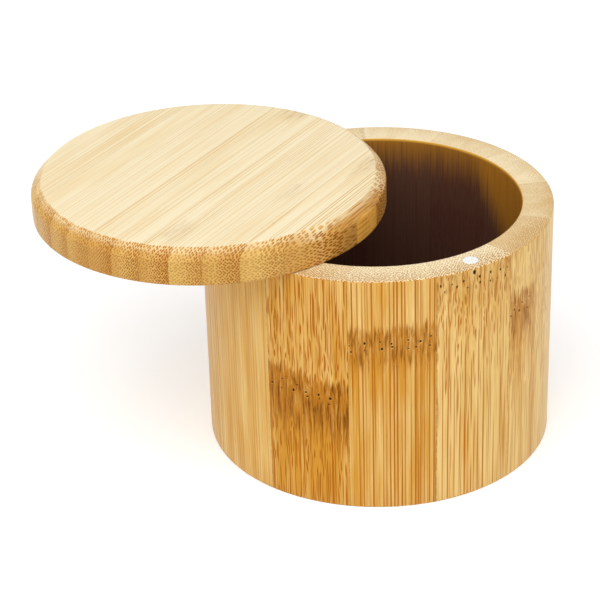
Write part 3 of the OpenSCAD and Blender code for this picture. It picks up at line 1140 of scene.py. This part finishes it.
def white_room(surround):
    """The world: plain white to the camera, reflections and glass, and the surround to all else."""
    n = Nodes(bpy.data.worlds.new("white_room"))
    return n.shade(Color=WHITE, Strength=n.rise(n.seen_directly(), 0.0, 1.0, surround, 1.0))


# ---------------------------------------------------------------- operators

class SALTBOX_OT_wall(bpy.types.Operator):
    """Build the staves of the wall"""

    bl_idname = "salt_box.wall"
    bl_label = "Wall"

    def execute(self, context):
        c = context.scene.salt_box_colours
        wood = bamboo("bamboo_wall", Wood(
            grain=(0, 0, 1), pale=c.wall_pale, deep=c.wall_deep, fibre=c.wall_fibre, end=c.wall_end,
            end_deep=c.wall_end_deep, dot=c.wall_dot, knot=c.knot, streak=0.44, rows=1.2, layers=1.4,
            crowding=1.25, glue_long=0.55, glue_end=0.25, uneven=2.2, deepening=0.35, top=BOX_H, cavity=True,
        ))
        for number, node in enumerate(STAVES):
            make_stave(number, node, wood)
        return {"FINISHED"}


class SALTBOX_OT_floor_board(bpy.types.Operator):
    """Build the glued floor board"""

    bl_idname = "salt_box.floor_board"
    bl_label = "Floor board"

    def execute(self, context):
        c = context.scene.salt_box_colours
        wood = bamboo("bamboo_floor", Wood(
            grain=(0, 1, 0), pale=c.wall_pale, deep=c.wall_deep, fibre=c.wall_fibre, end=c.lid_end,
            end_deep=c.lid_end_deep, dot=c.lid_dot, knot=c.knot, streak=0.42, rows=1.0, layers=1.0,
            crowding=1.0, glue_long=0.7, glue_end=0.7, uneven=2.4, deepening=0.3, top=FLOOR_T, cavity=True,
        ))
        for number, node in enumerate(FLOOR_STRIPS):
            make_floor_strip(number, node, wood)
        return {"FINISHED"}


class SALTBOX_OT_lid(bpy.types.Operator):
    """Build the glued strips of the swivel lid"""

    bl_idname = "salt_box.lid"
    bl_label = "Lid"

    def execute(self, context):
        c = context.scene.salt_box_colours
        board = Wood(
            grain=(math.sin(SWING), math.cos(SWING), 0), pale=c.lid_pale, deep=c.lid_deep,
            fibre=c.lid_fibre, end=c.lid_end, end_deep=c.lid_end_deep, dot=c.lid_dot, knot=c.lid_knot,
            streak=0.38, rows=0.75, layers=1.3, crowding=1.05, glue_long=0.2, glue_end=0.5,
            uneven=1.5, deepening=0.3, top=LID_LOW + LID_T, cavity=False,
        )
        golden = board._replace(pale=c.sliver, deep=c.lid_end_deep, fibre=c.lid_dot, end=c.sliver)
        wood, side_wood = bamboo("bamboo_lid", board), bamboo("bamboo_sliver", golden)
        shape = context.scene.salt_box_shape
        seam, turn = BOX_R - shape.sliver / MM, shape.sliver_turn
        for number, node in enumerate(LID_STRIPS):
            left, right = strip_span(turned(node_points(node), SWING), BOX_R)
            look = LID_LOOKS[number % len(LID_LOOKS)]
            if number < len(LID_STRIPS) - 1:
                make_lid_strip(number, node, left, right, look, wood)
            else:
                make_lid_strip(number, node, left, seam, look, wood, right_turn=turn)
        make_lid_strip(len(LID_STRIPS), "lid_sliver", seam, BOX_R, SLIVER_LOOK, side_wood, left_turn=turn)
        return {"FINISHED"}


class SALTBOX_OT_pin(bpy.types.Operator):
    """Build the steel pin that the lid turns on"""

    bl_idname = "salt_box.pin"
    bl_label = "Pivot pin"

    def execute(self, context):
        tint = context.scene.salt_box_colours.steel
        steel = metal("pin_steel", tint, stretch=(9000, 9000, 300), smooth=0.25, rough=0.45)
        make_metal_part("steel_pivot_pin", "pivot_pin", "lid", "pin_steel", PIN_EASE, steel)
        return {"FINISHED"}


class SALTBOX_OT_magnets(bpy.types.Operator):
    """Build the two magnets that hold the lid shut"""

    bl_idname = "salt_box.magnets"
    bl_label = "Magnets"

    def execute(self, context):
        tint = context.scene.salt_box_colours.nickel
        nickel = metal("magnet_nickel", tint, stretch=(2600, 700, 1500), smooth=0.22, rough=0.42)
        for node, body in (("rim_magnet", "box"), ("lid_magnet", "lid")):
            make_metal_part("nickel_" + node, node, body, "magnet_nickel", MAGNET_EASE, nickel)
        return {"FINISHED"}


class SALTBOX_OT_stage(bpy.types.Operator):
    """Build the pale floor, the lamps and the camera"""

    bl_idname = "salt_box.stage"
    bl_label = "Studio"

    def execute(self, context):
        studio = context.scene.salt_box_studio
        stand_camera(studio)
        lay_paper()
        hang_lamps(studio)
        context.scene.world = white_room(studio.surround)
        context.scene.view_settings.view_transform = "Standard"
        return {"FINISHED"}


class VIEW3D_PT_salt_box(bpy.types.Panel):
    """Lists the pieces of the salt box and what can be changed"""

    bl_label = "Salt Box"
    bl_space_type = "VIEW_3D"
    bl_region_type = "UI"
    bl_category = "Salt Box"

    def draw(self, context):
        for operator in OPERATORS:
            self.layout.operator(operator.bl_idname)
        for group in GROUPS:
            box = self.layout.box()
            settings = getattr(context.scene, group)
            for name in settings.__annotations__:
                box.prop(settings, name)


OPERATORS = (
    SALTBOX_OT_stage,
    SALTBOX_OT_wall,
    SALTBOX_OT_floor_board,
    SALTBOX_OT_lid,
    SALTBOX_OT_pin,
    SALTBOX_OT_magnets,
)
GROUPS = {
    "salt_box_shape": SaltBoxShape,
    "salt_box_colours": SaltBoxColours,
    "salt_box_studio": SaltBoxStudio,
}


def register():
    """Registers the classes and gives the scene its three groups of settings."""
    for kind in (*GROUPS.values(), *OPERATORS, VIEW3D_PT_salt_box):
        bpy.utils.register_class(kind)
    for name, group in GROUPS.items():
        setattr(bpy.types.Scene, name, bpy.props.PointerProperty(type=group))


def unregister():
    """Takes the settings and the classes away again."""
    for name in GROUPS:
        delattr(bpy.types.Scene, name)
    for kind in (VIEW3D_PT_salt_box, *reversed(OPERATORS), *GROUPS.values()):
        bpy.utils.unregister_class(kind)


def main():
    register()
    bpy.ops.salt_box.stage()
    bpy.ops.salt_box.wall()
    bpy.ops.salt_box.floor_board()
    bpy.ops.salt_box.lid()
    bpy.ops.salt_box.pin()
    bpy.ops.salt_box.magnets()


if __name__ == "__main__":
    main()
